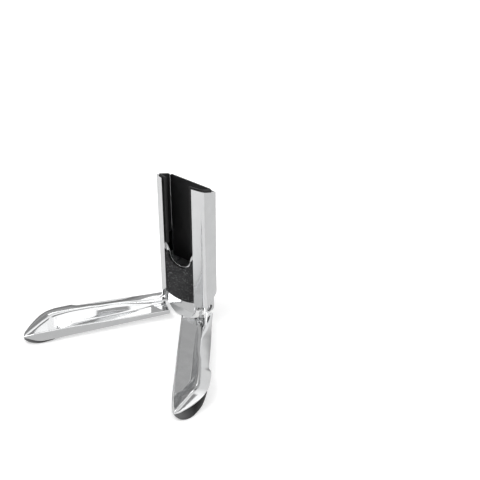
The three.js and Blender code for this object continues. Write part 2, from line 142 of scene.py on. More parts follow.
# Shape of a leg: each pair is a share of its reach, and a share of its span or rise there
INNER_EDGE = [(0, 0), (0.84, 0), (0.93, 0.02), (1, 0.085)]
FLOOR_EDGE = [(0, 0.49), (0.456, 0.5), (0.651, 0.48), (0.735, 0.32), (0.814, 0.1), (1, 0.114)]
CREASE = [(0, 0.597), (0.456, 0.597), (0.537, 0.645), (0.765, 0.668), (0.844, 0.524), (0.94, 0.28),
          (0.988, 0.165), (1, 0.123)]
RIM = [(0, 0.923), (0.6, 0.923), (0.64, 1), (0.74, 0.99), (0.79, 0.95), (0.84, 0.863), (0.89, 0.715),
       (0.936, 0.53), (0.97, 0.365), (0.989, 0.256), (1, 0.136)]
FLANGE_RISE = [(0, 0.4), (0.456, 0.735), (0.823, 1), (0.9, 0.99), (1, 0.77)]
FLANGE_FOOT = [(0, 0), (0.88, 0), (1, 0.6)]
CORNER_RISE = [(0, 0), (0.814, 0), (1, 0.61)]
CREASE_RISE = [(0, 0.36), (0.09, 0.39), (0.326, 0.88), (0.456, 1), (0.64, 1.03), (0.8, 1.02), (0.93, 0.77),
               (1, 0.61)]
RIM_RISE = [(0, 0.38), (0.269, 0.6), (0.456, 0.78), (0.64, 0.92), (0.8, 0.95), (0.93, 0.72), (1, 0.6)]
RAMP = [(0.77, 0), (0.84, 1)]
# Outline of the foot on the floor, as shares of the leg's reach and span
FOOT_FLOOR = [(0.837, 0.092), (0.874, 0.065), (0.911, 0.062), (0.956, 0.165), (0.978, 0.311),
              (0.972, 0.462), (0.942, 0.604), (0.902, 0.707), (0.862, 0.791)]

# Fineness. LEG_TAPER brings a leg's rings closer together towards its nose, and a bend takes at most
# BEND_SHARE of the straight run beside it
BEND_STEPS = 8
BEND_SHARE = 0.45
LEG_BEND_STEPS = 6
LEG_STEPS = 120
LEG_TAPER = 0.6
FLANGE_FOOT_STEPS = 4
FLANGE_TOP_STEPS = 10
FOOT_STEPS = 30
ROUND_STEPS = 12
CORNER_STEPS = 6
BAR_STEPS = 48

# Widths of the rounded edges, and the angles from which an edge is rounded or stays sharp
SHELL_EDGE = 0.35
PLATE_EDGE = 0.4
PANEL_EDGE = 0.25
LINER_EDGE = 0.5
EYE_EDGE = 0.3
ROUNDED_FROM = math.radians(35)
SHARP_FROM = math.radians(38)

# Points this close become one, and faces that meet this flat become one. The last two are for the
# parts that keep their solids, whose points are in metres
WELD_REACH = 0.002
FLAT_WITHIN = math.radians(0.2)
SOLID_WELD_REACH = 0.000005
SOLID_FLAT_WITHIN = math.radians(0.5)

# A face of a leg's floor looks this nearly straight up, and lies between these heights
FLOOR_FACE_UP = 0.996
FLOOR_FACE_LOW = 2.5
FLOOR_FACE_HIGH = 7

# Finish and edge width of the parts that keep their solids
SMALL_PARTS = {
    "hinge_block": ("alloy", 0.4), "plate_rivet": ("turned", 0.2), "back_rivet": ("turned", 0.15),
    "pin": ("turned", 0.3), "pin_clip": ("turned", 0.15), "washer_inner": ("nylon", 0.1),
    "washer_outer": ("nylon", 0.1),
}

# The photo's camera: its axes, its place in metres, and its lens
CAMERA_RIGHT = Vector((0.82832, 0.55662, 0.06376))
CAMERA_UP = Vector((-0.33880, 0.40700, 0.84827))
CAMERA_FORWARD = Vector((-0.44622, 0.72424, -0.52571))
CAMERA_PLACE = Vector((0.416423, -0.596436, 0.524200))
CAMERA_LENS = 81.775
CAMERA_SENSOR = 36
CAMERA_SHIFT = (0.0016, 0.0027)
CAMERA_NEAR = 0.01

# The floor's size in metres, its white, and the light it gives off to the camera and to polished metal
STAGE_SIZE = 6.0
STAGE_WHITE = 0.86
STAGE_CAMERA_LIFT = 0.35
STAGE_GLOSSY_LIFT = 0.04

# The sky's light: as the camera sees it, as matt pieces get it, and as polished metal sees it, in
# pairs of a height, from 0 at the horizon to 1 straight up, and the light there
BACKDROP_LIGHT = 1.0
SOFT_LIGHT = 0.62
SKY = [(0, 0.2), (0.25, 0.3), (0.38, 0.52), (0.5, 0.85), (0.76, 0.9), (0.9, 1.35), (1, 1.4)]

# Cards that stand round the piece: place, what they face, width and height, all in metres, and light
CARDS = {
    "web_card": ((-0.19, 0.165, 0.212), (-0.06, -0.055, 0.0), (0.13, 0.1), 2.0),
    "rim_card": ((-0.26, 0.165, 0.13), (-0.07, -0.075, 0.0), (0.24, 0.085), 0.42),
    "nose_card": ((-0.293, 0.014, 0.187), (-0.08, -0.1, 0.01), (0.14, 0.14), 0.32),
    "wall_card": ((0.29, -0.1, 0.385), (-0.04, -0.05, 0.01), (0.36, 0.36), 1.5),
    "low_card": ((0.378, -0.245, 0.19), (-0.057, -0.065, 0.008), (0.34, 0.18), 1.5),
    "dim_card": ((0.42, -0.2, 0.05), (-0.035, -0.03, 0.01), (0.5, 0.11), 0.42),
    "top_card": ((-0.03, 0.065, 0.495), (-0.045, -0.045, 0.01), (0.16, 0.16), 0.3),
    "flange_card": ((0.27, 0.4, 0.22), (0.0225, 0.01, 0.03), (0.4, 0.25), 1.4),
    "fold_card": ((-0.46, 0.32, 0.29), (0.05, -0.06, 0.0), (0.2, 0.12), 2.5),
    "panel_card": ((0.0, -0.0146, 0.041), (0.0, -1.009, -0.0635), (0.048, 0.08), 0.48),
    # side_card, left_card and between_card lie flat on the floor and give less light than the lit floor round
    # them: painted shade on the floor, which only polished metal sees.
    "side_card": ((0.17, 0.21, 0.002), (0.17, 0.21, 1.0), (0.27, 0.38), 0.78),
    "left_card": ((-0.19, 0.12, 0.002), (-0.19, 0.12, 1.0), (0.24, 0.25), 0.9),
    "between_card": ((-0.026, -0.07, 0.001), (-0.026, -0.07, 1.0), (0.1, 0.125), 0.68),
}

# Lamps: place, what they face, width and height, all in metres, and watts
LAMPS = {
    "key": ((-0.5, -0.7, 1.2), (0, 0, 0.05), (0.9, 0.9), 9),
    "fill": ((0.9, 0.3, 0.9), (0, 0, 0.05), (0.8, 0.8), 4),
}

# Places of the holder and of the right hinge, whose X runs along the leg and Y along the pin
STAND_SET = -(PLATE_SET + SHEET / 2) * math.cos(LEAN)
HOLDER_PLACE = (Matrix.Translation((0, STAND_SET, -PLATE_SET * math.sin(LEAN) - HEEL_FLAT))
                @ Matrix.Rotation(LEAN, 4, "X"))
HINGE_PLACE = (Matrix.Translation((PIN_OFFSET, STAND_SET - PIN_SET, PIN_HEIGHT))
               @ Matrix.Rotation(SPLAY - math.pi / 2, 4, "Z"))
HINGE_IN_HOLDER = HOLDER_PLACE.inverted() @ HINGE_PLACE
MIRROR = Matrix.Scale(-1, 4, (1, 0, 0))
IN_METRES = Matrix.Scale(MM, 4)


# Shapes. The first three say how an outline's u and v, and the w along a prism, lie in a piece's frame

def level(u, v, w):
    return Vector((u, v, w))


def cross(u, v, w):
    return Vector((w, u, v))


def endwise(u, v, w):
    return Vector((u, w, v))


def new_object(name, data):
    piece = bpy.data.objects.new(name, data)
    bpy.context.scene.collection.objects.link(piece)
    return piece


def closed_body(name, points, faces):
    """A mesh object whose faces point outwards."""
    mesh = bpy.data.meshes.new(name)
    mesh.from_pydata(points, [], faces)
    shape = bmesh.new()
    shape.from_mesh(mesh)
    bmesh.ops.recalc_face_normals(shape, faces=shape.faces)
    shape.to_mesh(mesh)
    shape.free()
    return new_object(name, mesh)


def prism(name, outline, low, high, plane):
    """A closed body with the same outline from its low end to its high end."""
    count = len(outline)
    points = [plane(u, v, w) for w in (low, high) for u, v in outline]
    faces = [list(range(count)), list(range(count, 2 * count))]
    faces += [(i, (i + 1) % count, count + (i + 1) % count, count + i) for i in range(count)]
    return closed_body(name, points, faces)


def block(name, low, high):
    outline = [(low[0], low[1]), (high[0], low[1]), (high[0], high[1]), (low[0], high[1])]
    return prism(name, outline, low[2], high[2], level)


def arc(x, y, radius, start, stop, steps):
    """Points of an arc, with its angles in degrees."""
    angles = [math.radians(start + (stop - start) * i / steps) for i in range(steps + 1)]
    return [(x + radius * math.cos(a), y + radius * math.sin(a)) for a in angles]


def curve(start, middle, stop, steps):
    """Points of a parabola that leaves its start, and reaches its stop, in line with the middle."""
    points = []
    for i in range(steps + 1):
        t = i / steps
        a, b, c = (1 - t) ** 2, 2 * t * (1 - t), t * t
        points.append(tuple(a * p + b * q + c * r for p, q, r in zip(start, middle, stop)))
    return points


def bar(name, radius, low, high, x=0.0, z=0.0):
    """A round bar along Y."""
    return prism(name, arc(x, z, radius, 0, 360 - 360 / BAR_STEPS, BAR_STEPS - 1), low, high, endwise)


def loft(name, rings):
    """A closed body through rings that have the same number of points."""
    count = len(rings[0])
    points = [point for each in rings for point in each]
    faces = [list(range(count)), list(range(len(points) - count, len(points)))]
    for s in range(len(rings) - 1):
        near, far = s * count, (s + 1) * count
        faces += [(near + i, near + (i + 1) % count, far + (i + 1) % count, far + i) for i in range(count)]
    return closed_body(name, points, faces)


def settle(piece):
    """Makes a piece's modifiers part of its mesh."""
    graph = bpy.context.evaluated_depsgraph_get()
    mesh = bpy.data.meshes.new_from_object(piece.evaluated_get(graph))
    piece.modifiers.clear()
    piece.data = mesh


def combine(piece, tool, operation="DIFFERENCE"):
    """Cuts, joins or intersects a piece with a tool, which is then gone."""
    step = piece.modifiers.new("combine", "BOOLEAN")
    step.object = tool
    step.operation = operation
    step.solver = "EXACT"
    settle(piece)
    bpy.data.objects.remove(tool)


def softened(points, reach, steps):
    """Rounds the inner corners of an open line."""
    line = [points[0]]
    for before, corner, after in zip(points, points[1:], points[2:]):
        ends = []
        for end in (before, after):
            run = Vector(end) - Vector(corner)
            length = min(reach, run.length * BEND_SHARE)
            ends.append(tuple(Vector(corner) + run.normalized() * length))
        line += curve(ends[0], corner, ends[1], steps)
    return line + [points[-1]]


def beside(points, distance):
    """The line that runs beside an open line, to its left."""
    sides = []
    for near, far in zip(points, points[1:]):
        run = (Vector(far) - Vector(near)).normalized()
        sides.append(Vector((-run.y, run.x)))
    line = []
    for i, point in enumerate(points):
        ahead = sides[min(i, len(sides) - 1)]
        mitre = (sides[max(i - 1, 0)] + ahead).normalized()
        line.append(tuple(Vector(point) + mitre * (distance / mitre.dot(ahead))))
    return line


def sheet_outline(line, thickness):
    """The outline of a sheet whose one side is the given line."""
    return line + beside(line, thickness)[::-1]


def value_at(pairs, at):
    """A smooth value between the pairs of a list, without overshoot."""
    last = len(pairs) - 1
    if at <= pairs[0][0]:
        return pairs[0][1]
    if at >= pairs[last][0]:
        return pairs[last][1]
    grades = [(b[1] - a[1]) / (b[0] - a[0]) for a, b in zip(pairs, pairs[1:])]

    def slope(i):
        if i in (0, last):
            return grades[min(i, last - 1)]
        product = grades[i - 1] * grades[i]
        return 2 * product / (grades[i - 1] + grades[i]) if product > 0 else 0

    k = next(i for i in range(last) if at < pairs[i + 1][0])
    width = pairs[k + 1][0] - pairs[k][0]
    t = (at - pairs[k][0]) / width
    return (pairs[k][1] + t * t * (3 - 2 * t) * (pairs[k + 1][1] - pairs[k][1])
            + width * (t * (1 - t) ** 2 * slope(k) + t * t * (t - 1) * slope(k + 1)))


def spline(points, steps):
    """Points of a smooth line through the given ones, evenly many between each two."""
    line = []
    last = len(points) - 1
    for i in range(steps + 1):
        at = last * i / steps
        k = min(int(at), last - 1)
        t = at - k
        p0 = points[max(k - 1, 0)]
        p1, p2 = points[k], points[k + 1]
        p3 = points[min(k + 2, last)]
        line.append(p1 + 0.5 * t * ((p2 - p0) + t * ((2 * p0 - 5 * p1 + 4 * p2 - p3)
                                                     + t * (3 * (p1 - p2) + p3 - p0))))
    return line


# Materials

def new_material(name, color, metallic, roughness):
    material = bpy.data.materials.new(name)
    material.use_nodes = True
    shader = material.node_tree.nodes["Principled BSDF"]
    shader.inputs["Base Color"].default_value = (*color, 1)
    shader.inputs["Metallic"].default_value = metallic
    shader.inputs["Roughness"].default_value = roughness
    return material, material.node_tree, shader


def noise(tree, scale, detail=3.0, stretch=(1, 1, 1)):
    """The value of a noise in the piece's own place, in metres."""
    place = tree.nodes.new("ShaderNodeTexCoord")
    mapping = tree.nodes.new("ShaderNodeMapping")
    mapping.inputs["Scale"].default_value = stretch
    grain = tree.nodes.new("ShaderNodeTexNoise")
    grain.inputs["Scale"].default_value = scale
    grain.inputs["Detail"].default_value = detail
    tree.links.new(place.outputs["Object"], mapping.inputs["Vector"])
    tree.links.new(mapping.outputs["Vector"], grain.inputs["Vector"])
    return grain.outputs["Fac"]


def ranged(tree, value, low, high, start=0.3, stop=0.7):
    """Brings a value from between start and stop to between low and high."""
    scale = tree.nodes.new("ShaderNodeMapRange")
    scale.inputs["From Min"].default_value = start
    scale.inputs["From Max"].default_value = stop
    scale.inputs["To Min"].default_value = low
    scale.inputs["To Max"].default_value = high
    tree.links.new(value, scale.inputs["Value"])
    return scale.outputs["Result"]


def calculated(tree, operation, *values):
    """The result of a Math node, from outputs of other nodes and plain numbers."""
    node = tree.nodes.new("ShaderNodeMath")
    node.operation = operation
    for socket, value in zip(node.inputs, values):
        if isinstance(value, float):
            socket.default_value = value
        else:
            tree.links.new(value, socket)
    return node.outputs[0]


def roughened(tree, shader, value, low, high):
    """Lets a value move the roughness."""
    tree.links.new(ranged(tree, value, low, high), shader.inputs["Roughness"])


def colored(tree, shader, value, low, high, start=0.3, stop=0.7):
    """Lets a value move the colour."""
    ramp = tree.nodes.new("ShaderNodeValToRGB")
    ramp.color_ramp.elements[0].position = start
    ramp.color_ramp.elements[0].color = (*low, 1)
    ramp.color_ramp.elements[1].position = stop
    ramp.color_ramp.elements[1].color = (*high, 1)
    tree.links.new(value, ramp.inputs["Fac"])
    tree.links.new(ramp.outputs["Color"], shader.inputs["Base Color"])


def bumped(tree, shader, value, strength, height):
    """Lets a value raise the surface, with its height in metres."""
    bump = tree.nodes.new("ShaderNodeBump")
    bump.inputs["Strength"].default_value = strength
    bump.inputs["Distance"].default_value = height
    tree.links.new(value, bump.inputs["Height"])
    tree.links.new(bump.outputs["Normal"], shader.inputs["Normal"])


def polished_steel():
    """Mirror-polished sheet with faint smears and the long soft waves of a pressed sheet."""
    material, tree, shader = new_material("polished_steel", (0.70, 0.705, 0.71), metallic=1.0, roughness=0.1)
    smears = noise(tree, scale=90, detail=4)
    roughened(tree, shader, smears, low=0.07, high=0.15)
    colored(tree, shader, smears, low=(0.68, 0.685, 0.69), high=(0.72, 0.725, 0.73))
    bumped(tree, shader, noise(tree, scale=45, detail=1), strength=0.2, height=0.0006)
    return material


def satin_steel():
    """The floor of a leg, which the press leaves less bright than the bends."""
    material, tree, shader = new_material("satin_steel", (0.70, 0.705, 0.71), metallic=1.0, roughness=0.18)
    smears = noise(tree, scale=120, detail=4)
    roughened(tree, shader, smears, low=0.15, high=0.21)
    colored(tree, shader, smears, low=(0.67, 0.675, 0.68), high=(0.72, 0.725, 0.73))
    bumped(tree, shader, noise(tree, scale=60, detail=1), strength=0.1, height=0.0004)
    return material


def textured_panel():
    """Black plastic with a fine raised grain, whose high points are painted light: painted glints that show
    as light specks.
    """
    material, tree, shader = new_material("textured_panel", (0.02, 0.02, 0.022), metallic=0.0, roughness=0.5)
    shader.inputs["Specular IOR Level"].default_value = 0.24
    grain_and_painted_glints = noise(tree, scale=1000, detail=2)
    # Painted glints: the grain's high points get a lighter colour.
    colored(tree, shader, grain_and_painted_glints, low=(0.006, 0.006, 0.007), high=(0.22, 0.22, 0.225), start=0.56, stop=0.8)
    roughened(tree, shader, noise(tree, scale=500), low=0.42, high=0.62)
    bumped(tree, shader, grain_and_painted_glints, strength=0.6, height=0.0003)
    return material


def rubber():
    """Matt black rubber, a little dusty."""
    material, tree, shader = new_material("rubber", (0.02, 0.02, 0.021), metallic=0.0, roughness=0.6)
    shader.inputs["Specular IOR Level"].default_value = 0.3
    dust_and_painted_sheen = noise(tree, scale=260, detail=5)
    colored(tree, shader, dust_and_painted_sheen, low=(0.007, 0.007, 0.0075), high=(0.016, 0.016, 0.017))
    roughened(tree, shader, dust_and_painted_sheen, low=0.5, high=0.68)
    bumped(tree, shader, noise(tree, scale=2600, detail=2), strength=0.25, height=0.0002)
    return material


def cast_alloy():
    """Blasted casting with a fine grain."""
    material, tree, shader = new_material("cast_alloy", (0.33, 0.335, 0.34), metallic=1.0, roughness=0.45)
    grain = noise(tree, scale=1700, detail=4)
    roughened(tree, shader, grain, low=0.38, high=0.55)
    colored(tree, shader, noise(tree, scale=160), low=(0.3, 0.305, 0.31), high=(0.36, 0.365, 0.37))
    bumped(tree, shader, grain, strength=0.4, height=0.0002)
    return material


def turned_steel():
    """Steel with fine lines."""
    material, tree, shader = new_material("turned_steel", (0.36, 0.365, 0.37), metallic=1.0, roughness=0.28)
    lines = noise(tree, scale=2400, detail=2, stretch=(1, 0.15, 1))
    roughened(tree, shader, lines, low=0.22, high=0.36)
    colored(tree, shader, noise(tree, scale=320), low=(0.32, 0.325, 0.33), high=(0.4, 0.405, 0.41))
    bumped(tree, shader, lines, strength=0.15, height=0.0001)
    return material


def bore_shade_steel():
    """The wall of a bore, cut and not polished, with its colour painted dark as painted shade inside the
    hole.
    """
    material, tree, shader = new_material("bore_shade_steel", (0.1, 0.1, 0.102), metallic=1.0, roughness=0.45)
    marks = noise(tree, scale=900)
    roughened(tree, shader, marks, low=0.36, high=0.55)
    # Painted shade: the bore's colour is far darker than the polished sheet's.
    colored(tree, shader, marks, low=(0.12, 0.12, 0.122), high=(0.2, 0.2, 0.203))
    bumped(tree, shader, marks, strength=0.2, height=0.0001)
    return material


def nylon():
    """Black plastic, a little shiny."""
    material, tree, shader = new_material("nylon", (0.03, 0.03, 0.032), metallic=0.0, roughness=0.42)
    grain = noise(tree, scale=900)
    roughened(tree, shader, grain, low=0.36, high=0.5)
    colored(tree, shader, grain, low=(0.024, 0.024, 0.026), high=(0.04, 0.04, 0.043))
    return material


def foot_rubber():
    """Satin rubber with a worn roughness, its colour painted lighter towards the nose as a painted reflection
    of the floor.
    """
    material, tree, shader = new_material("foot_rubber", (0.03, 0.03, 0.031), metallic=0.0, roughness=0.34)
    shader.inputs["Specular IOR Level"].default_value = 0.22
    place = tree.nodes.new("ShaderNodeTexCoord")
    axes = tree.nodes.new("ShaderNodeSeparateXYZ")
    tree.links.new(place.outputs["Object"], axes.inputs[0])
    nose = ranged(tree, axes.outputs["Y"], low=1, high=0, start=-0.108, stop=-0.093)
    wear = noise(tree, scale=180, detail=4)
    # Painted reflection of the floor: the colour grows lighter towards the nose, broken up a little by the
    # wear noise.
    dust_and_painted_sheen = calculated(tree, "MULTIPLY", nose, ranged(tree, wear, low=0.75, high=1.0))
    colored(tree, shader, dust_and_painted_sheen, low=(0.003, 0.003, 0.0033), high=(0.17, 0.17, 0.172), start=0.0, stop=1.0)
    roughened(tree, shader, wear, low=0.3, high=0.42)
    bumped(tree, shader, noise(tree, scale=3000, detail=2), strength=0.15, height=0.0001)
    return material


# Finishing of pieces

def smooth_faces(piece):
    for face in piece.data.polygons:
        face.use_smooth = True


def smooth(piece):
    """Shades a piece smooth, but for its sharp edges."""
    smooth_faces(piece)
    piece.data.set_sharp_from_angle(angle=SHARP_FROM)


def rounded(piece, width, segments=3):
    """Rounds a piece's sharp edges and keeps its flat faces flat to the light."""
    smooth_faces(piece)
    edges = piece.modifiers.new("edges", "BEVEL")
    edges.width = width * MM
    edges.segments = segments
    edges.limit_method = "ANGLE"
    edges.angle_limit = ROUNDED_FROM
    edges.use_clamp_overlap = True
    edges.loop_slide = False
    edges.miter_outer = "MITER_ARC"
    shade = piece.modifiers.new("shade", "WEIGHTED_NORMAL")
    shade.keep_sharp = True


def dress(piece, place, material, body, nodes):
    """Puts a piece in place in metres, gives it its finish and its body, and hides the nodes it stands for.
    """
    shape = bmesh.new()
    shape.from_mesh(piece.data)
    bmesh.ops.remove_doubles(shape, verts=shape.verts, dist=WELD_REACH)
    bmesh.ops.dissolve_limit(shape, angle_limit=FLAT_WITHIN, verts=shape.verts, edges=shape.edges)
    shape.to_mesh(piece.data)
    shape.free()
    piece.data.transform(IN_METRES @ place)
    piece.data.materials.clear()
    piece.data.materials.append(material)
    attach(piece, body)
    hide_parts(*nodes)


def mirrored(piece, name):
    """A copy of a piece in the mirror of the plane x = 0."""
    mesh = piece.data.copy()
    mesh.transform(MIRROR)
    mesh.flip_normals()
    return new_object(name, mesh)


# Holder

CHANNEL_CORNERS = [
    (HALF_SLOT, 0), (HALF_CHANNEL, LIP_SET), (HALF_CHANNEL, CHANNEL_DEPTH),
    (-HALF_CHANNEL, CHANNEL_DEPTH), (-HALF_CHANNEL, LIP_SET), (-HALF_SLOT, 0),
]


def rim_height(y):
    """The height of the channel's slanted rim, at a depth behind its front."""
    return CHANNEL_HEIGHT - RIM_SLOPE * y


def channel_side():
    """The channel from the side: its slanted rim, and the ear and the cuts at its foot."""
    cut_slope = (BACK_END - BACK_CUT_END) / (CHANNEL_DEPTH - EAR_BACK)
    past = CHANNEL_DEPTH + OVERRUN
    side = [(-OVERRUN, LIP_END), (LIP_SET, LIP_END)]
    side += arc(LIP_SET + EAR_CORNER, EAR_END + EAR_CORNER, EAR_CORNER, 180, 270, ROUND_STEPS)
    side += arc(EAR_BACK - EAR_CORNER, EAR_END + EAR_CORNER, EAR_CORNER, 270, 360, ROUND_STEPS)
    side += [(EAR_BACK, BACK_CUT_END), (past, BACK_CUT_END + cut_slope * (past - EAR_BACK)),
             (past, rim_height(past)), (-OVERRUN, rim_height(-OVERRUN))]
    return side


def paint_bore_shade(shell, material):
    """Gives the walls of the two pin holes their own finish, whose dark colour is painted shade in the holes.
    """
    shell.data.materials.append(material)
    to_hinge = (IN_METRES @ HOLDER_PLACE @ HINGE_IN_HOLDER).inverted()
    for face in shell.data.polygons:
        spot = to_hinge @ Vector((abs(face.center.x), face.center.y, face.center.z))
        if math.hypot(spot.x, spot.z) < PIN_HOLE_RADIUS + BORE_MARGIN:
            face.material_index = 1


def holder_shell(material, shaded_bore_material):
    """The channel, with its slot, its ears, and the holes for the pins and the back rivets."""
    reach = HALF_SLOT - SHEET
    line = [(reach, -SHEET * LIP_SLOPE), *CHANNEL_CORNERS[1:-1], (-reach, -SHEET * LIP_SLOPE)]
    outline = sheet_outline(softened(line, CHANNEL_BEND, BEND_STEPS), SHEET)
    shell = prism("shell", outline, 0, CHANNEL_HEIGHT + OVERRUN, level)
    wide = HALF_CHANNEL * 2
    combine(shell, prism("side", channel_side(), -wide, wide, cross), "INTERSECT")
    high = CHANNEL_HEIGHT + OVERRUN * 2
    combine(shell, block("slot", (-HALF_SLOT, -OVERRUN, -OVERRUN), (HALF_SLOT, CHANNEL_DEPTH / 2, high)))
    inside = HALF_CHANNEL - SHEET
    combine(shell, block("below", (-inside, -OVERRUN, -OVERRUN), (inside, CHANNEL_DEPTH / 2, LIP_END)))
    hole = bar("hole", PIN_HOLE_RADIUS, EAR_HOLE_START, CHANNEL_DEPTH * 2)
    hole.data.transform(HINGE_IN_HOLDER)
    twin = mirrored(hole, "twin")
    combine(shell, hole)
    combine(shell, twin)
    for side in (1, -1):
        combine(shell, bar("rivet", RIVET_RADIUS + FIT, CHANNEL_DEPTH - OVERRUN, CHANNEL_DEPTH + OVERRUN,
                           side * RIVET_SPREAD, BACK_RIVET_HEIGHT))
    dress(shell, HOLDER_PLACE, material, "holder", ["holder_shell"])
    paint_bore_shade(shell, shaded_bore_material)
    rounded(shell, SHELL_EDGE)


LIP_ANGLE = math.atan(LIP_SLOPE)
WING_START = HALF_SLOT + (PLATE_SET - (SHEET + FIT) / math.cos(LIP_ANGLE)) / LIP_SLOPE
PLATE_CORNERS = [
    (-WING_START - WING_REACH, PLATE_SET + WING_REACH * LIP_SLOPE), (-WING_START, PLATE_SET),
    (WING_START, PLATE_SET), (WING_START + WING_REACH, PLATE_SET + WING_REACH * LIP_SLOPE),
]


def plate_face():
    """The plate from the front: the round heel, the wings behind the lips, and the notch."""
    wing = WING_START + WING_REACH + OVERRUN
    horn = (NOTCH_RADIUS + PANEL_RIM, PLATE_TOP - HORN_LEAN)
    right = curve((HALF_SLOT, PLATE_TOP), horn, (NOTCH_RADIUS, NOTCH_HEIGHT), ROUND_STEPS)
    notch = arc(0, NOTCH_HEIGHT, NOTCH_RADIUS, 0, -180, 4 * ROUND_STEPS)
    left = [(-x, z) for x, z in right[::-1]]
    return [*arc(0, HALF_SLOT, HALF_SLOT, 180, 360, 4 * ROUND_STEPS), (HALF_SLOT, WING_END), (wing, WING_END),
            (wing, PLATE_TOP), *right, *notch[1:], *left[1:], (-wing, PLATE_TOP), (-wing, WING_END),
            (-HALF_SLOT, WING_END)]


def front_plate(material):
    """The plate behind the lips, cut level with the floor at its heel."""
    plate = prism("plate", sheet_outline(PLATE_CORNERS, SHEET), -OVERRUN, PLATE_TOP + OVERRUN, level)
    combine(plate, prism("face", plate_face(), -OVERRUN, CHANNEL_DEPTH, endwise), "INTERSECT")
    for side in (1, -1):
        combine(plate, bar("rivet", RIVET_RADIUS + FIT, 0, CHANNEL_DEPTH,
                           side * RIVET_SPREAD, PLATE_RIVET_HEIGHT))
    floor = block("floor", (-HALF_CHANNEL, -HALF_CHANNEL, -HALF_CHANNEL), (HALF_CHANNEL, HALF_CHANNEL, 0))
    floor.data.transform(HOLDER_PLACE.inverted())
    combine(plate, floor)
    dress(plate, HOLDER_PLACE, material, "holder", ["front_plate"])
    rounded(plate, PLATE_EDGE)


def label_panel(material):
    """The panel on the plate, round below, with a rim round the notch."""
    half = HALF_SLOT - FIT
    sag = (half * half + PANEL_SAG * PANEL_SAG) / (2 * PANEL_SAG)
    spread = math.degrees(math.asin(half / sag))
    corner = curve((half, PANEL_TOP - PANEL_CORNER), (half, PANEL_TOP), (half - PANEL_CORNER, PANEL_TOP),
                   CORNER_STEPS)
    notch = arc(0, NOTCH_HEIGHT, NOTCH_RADIUS + PANEL_RIM, 0, -180, 4 * ROUND_STEPS)
    face = [*arc(0, PANEL_END + sag, sag, -90 - spread, -90 + spread, 2 * ROUND_STEPS), *corner,
            *notch, *[(-x, z) for x, z in corner[::-1]]]
    panel = prism("panel", face, PLATE_SET - FIT - PANEL_THICK, PLATE_SET - FIT, endwise)
    dress(panel, HOLDER_PLACE, material, "holder", ["label_panel"])
    rounded(panel, PANEL_EDGE, segments=2)


def side_liner(material):
    """The strips inside the lips and the side walls."""
    past = CHANNEL_DEPTH + OVERRUN
    side = [(-OVERRUN, PLATE_TOP + FIT), (past, PLATE_TOP + FIT),
            (past, rim_height(past) + LINER_PROUD), (-OVERRUN, rim_height(-OVERRUN) + LINER_PROUD)]
    inner = beside(CHANNEL_CORNERS, SHEET + FIT)
    stop = CHANNEL_DEPTH - SHEET - LINER_THICK - 2 * FIT
    start = HALF_SLOT - LINER_REACH
    line = softened([(start, inner[0][1] - (inner[0][0] - start) * LIP_SLOPE), inner[1], (inner[1][0], stop)],
                    LINER_BEND, BEND_STEPS)
    liner = prism("right_liner_strip", sheet_outline(line, LINER_THICK),
                  PLATE_TOP, CHANNEL_HEIGHT + OVERRUN * 2, level)
    combine(liner, prism("side", side, -HALF_CHANNEL * 2, HALF_CHANNEL * 2, cross), "INTERSECT")
    dress(liner, HOLDER_PLACE, material, "holder", ["right_liner"])
    twin = mirrored(liner, "left_liner_strip")
    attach(twin, "holder")
    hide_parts("left_liner")
    for each in (liner, twin):
        rounded(each, LINER_EDGE)


def back_liner(material):
    """The pad before the channel's back."""
    back = CHANNEL_DEPTH - SHEET - FIT
    front = back - LINER_THICK
    half = HALF_CHANNEL - SHEET - LINER_THICK - 2 * FIT
    side = [(front, BACK_LINER_END), (back, BACK_LINER_END), (back, rim_height(back) + LINER_PROUD),
            (front, rim_height(front) + LINER_PROUD)]
    pad = prism("back_liner_pad", side, -half, half, cross)
    dress(pad, HOLDER_PLACE, material, "holder", ["liner_back"])
    rounded(pad, LINER_EDGE)


# Legs

def sole_drop(along):
    """How far the tray's floor lies under the pin."""
    return SOLE_DROP_ROOT + (SOLE_DROP_TIP - SOLE_DROP_ROOT) * along / LEG_REACH


def leg_corners(share):
    """The corners of the tray's under side: its inner edge, its floor's edge, its crease and its rim."""
    inner = value_at(INNER_EDGE, share) * LEG_SPAN + LEG_SHEET / 2
    crease = (value_at(CREASE, share) * LEG_SPAN, value_at(CREASE_RISE, share) * LEG_RISE)
    rim = (value_at(RIM, share) * LEG_SPAN, value_at(RIM_RISE, share) * LEG_RISE)
    corner = value_at(CORNER_RISE, share) * LEG_RISE
    edge = max(value_at(FLOOR_EDGE, share) * LEG_SPAN, inner + (crease[0] - inner) * LEAST_FLOOR)
    on_ramp = corner + (crease[1] - corner) * (edge - inner) / (crease[0] - inner)
    ramp = value_at(RAMP, share)
    return [(inner, corner), (edge, corner + (on_ramp - corner) * ramp), crease, rim]


def leg_rings(outline_of):
    """Rings along a leg, from a section's outline at each share of its reach."""
    rings = []
    for i in range(LEG_STEPS + 1):
        step = i / LEG_STEPS + LEG_TAPER * math.sin(math.pi * i / LEG_STEPS) / math.pi
        along = LEG_START + (LEG_REACH - LEG_START) * step
        drop = sole_drop(along)
        rings.append([Vector((along, across, up - drop)) for across, up in outline_of(along / LEG_REACH)])
    return rings


